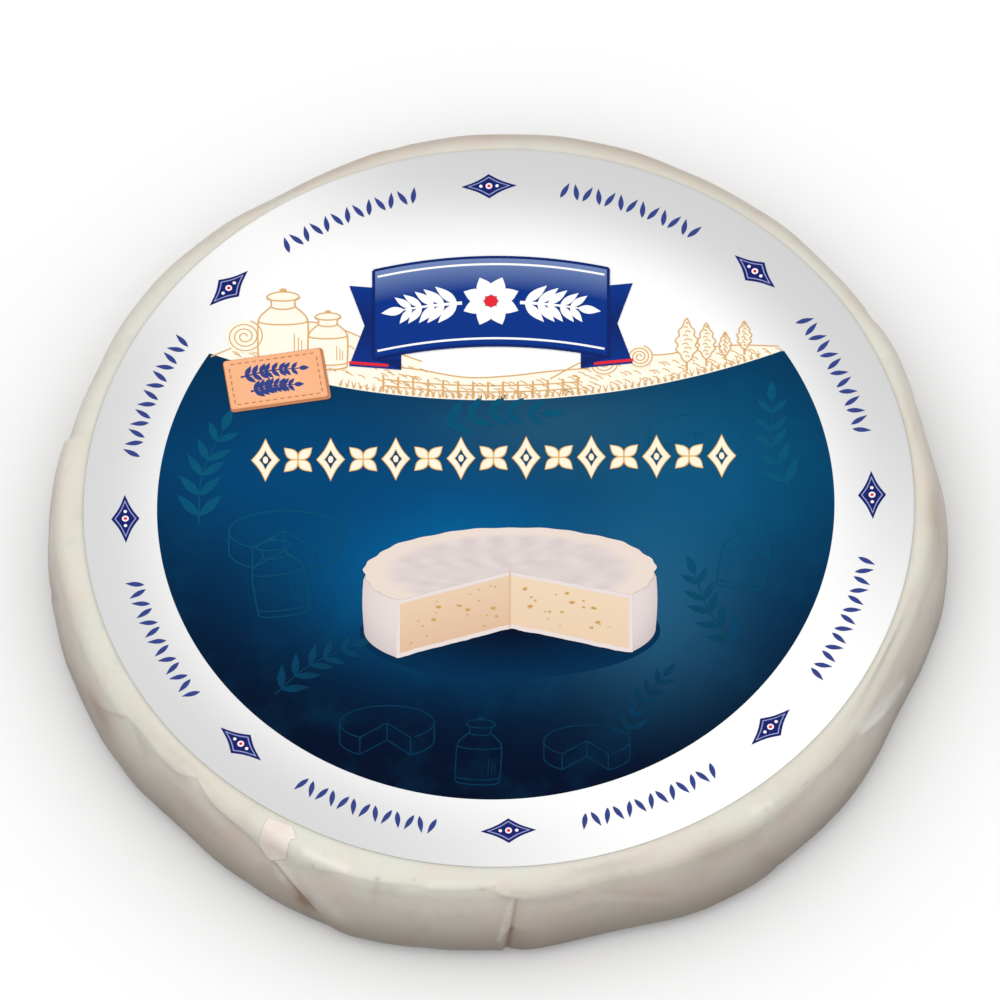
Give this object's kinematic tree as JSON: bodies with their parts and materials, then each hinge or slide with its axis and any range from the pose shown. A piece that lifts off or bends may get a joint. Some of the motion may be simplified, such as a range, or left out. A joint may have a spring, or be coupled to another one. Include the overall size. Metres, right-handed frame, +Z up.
{
  "type": "brie wheel",
  "caption": "Shut wheel of brie in folded off-white paper wrap, with a round printed paper label lying on its top.",
  "frame": {"origin": "middle of the flat base, at the middle of the outline's box", "axes": "+Z up through the wheel and out of the label, +Y towards the top of the label's print, +X to its right"},
  "size_m": [0.2108, 0.2104, 0.0307],
  "materials": {
    "wrap_paper": "off-white waxed wrap paper, softly creased, semi-gloss",
    "label_paper": "coated white label paper with printed ink, light satin gloss"
  },
  "bodies": {
    "root": {"wrapped_wheel": "wrap_paper", "top_label": "label_paper"}
  },
  "joints": []
}
